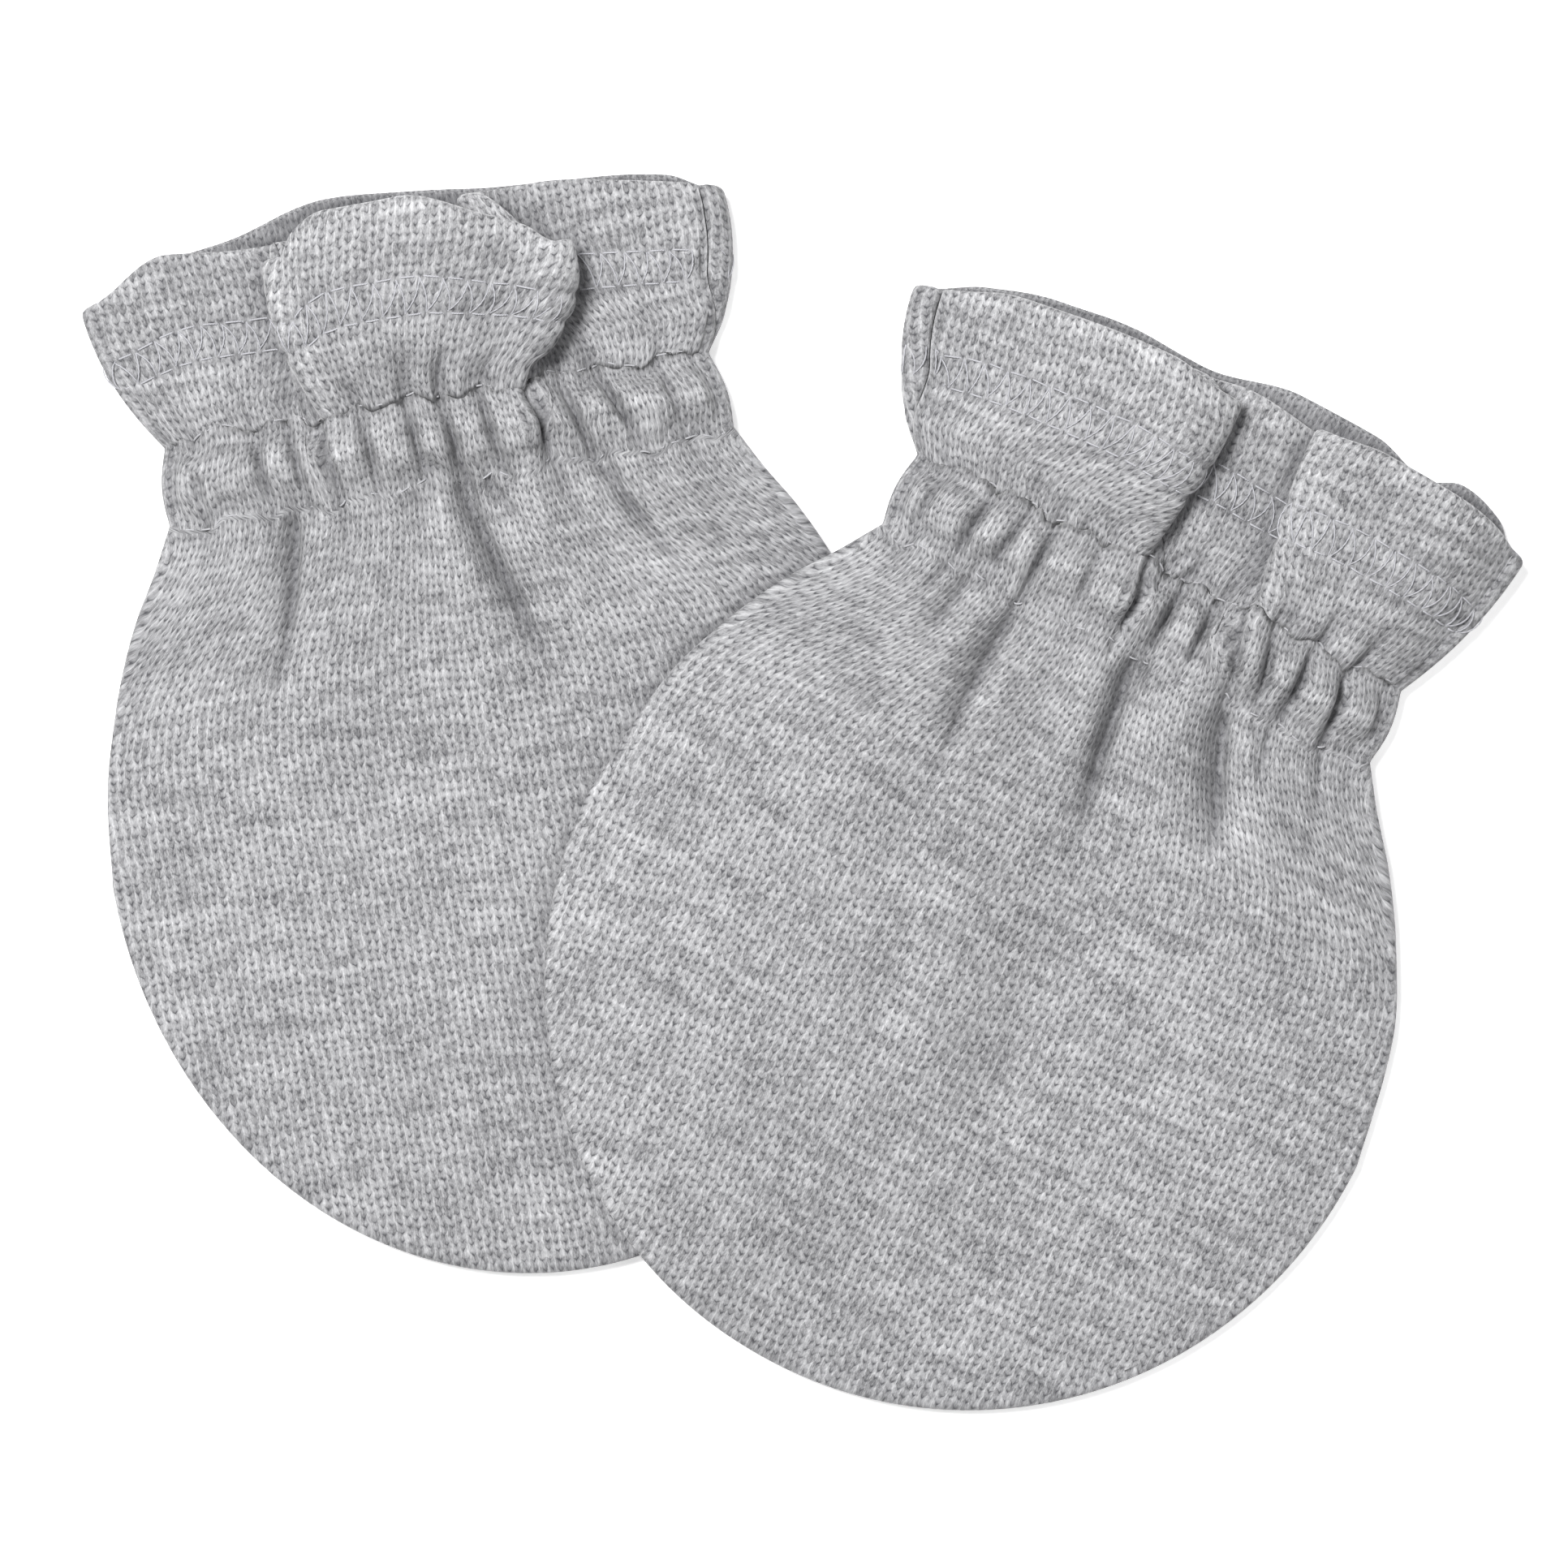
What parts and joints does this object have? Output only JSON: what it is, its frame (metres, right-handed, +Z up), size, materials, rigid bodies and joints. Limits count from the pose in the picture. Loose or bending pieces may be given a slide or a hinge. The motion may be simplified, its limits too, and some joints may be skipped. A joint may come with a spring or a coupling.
{
  "type": "pair of baby mittens",
  "caption": "Pair of knitted cotton no-scratch baby mittens laid flat, one lapping the other, with gathered wrists and flared ruffle cuffs.",
  "frame": {"origin": "centre of the pair's bounding box, on the surface that it lies on", "axes": "+Z up from the surface, +Y towards the cuffs, +X to the right seen from above"},
  "size_m": [0.133, 0.1144, 0.0106],
  "materials": {
    "left_front_knit": "heather grey cotton interlock knit",
    "left_back_knit": "heather grey cotton interlock knit",
    "right_front_knit": "heather grey cotton interlock knit",
    "right_back_knit": "heather grey cotton interlock knit"
  },
  "bodies": {
    "root": {"mitten_left_front": "left_front_knit", "mitten_left_back": "left_back_knit", "mitten_right_front": "right_front_knit", "mitten_right_back": "right_back_knit"}
  },
  "joints": []
}
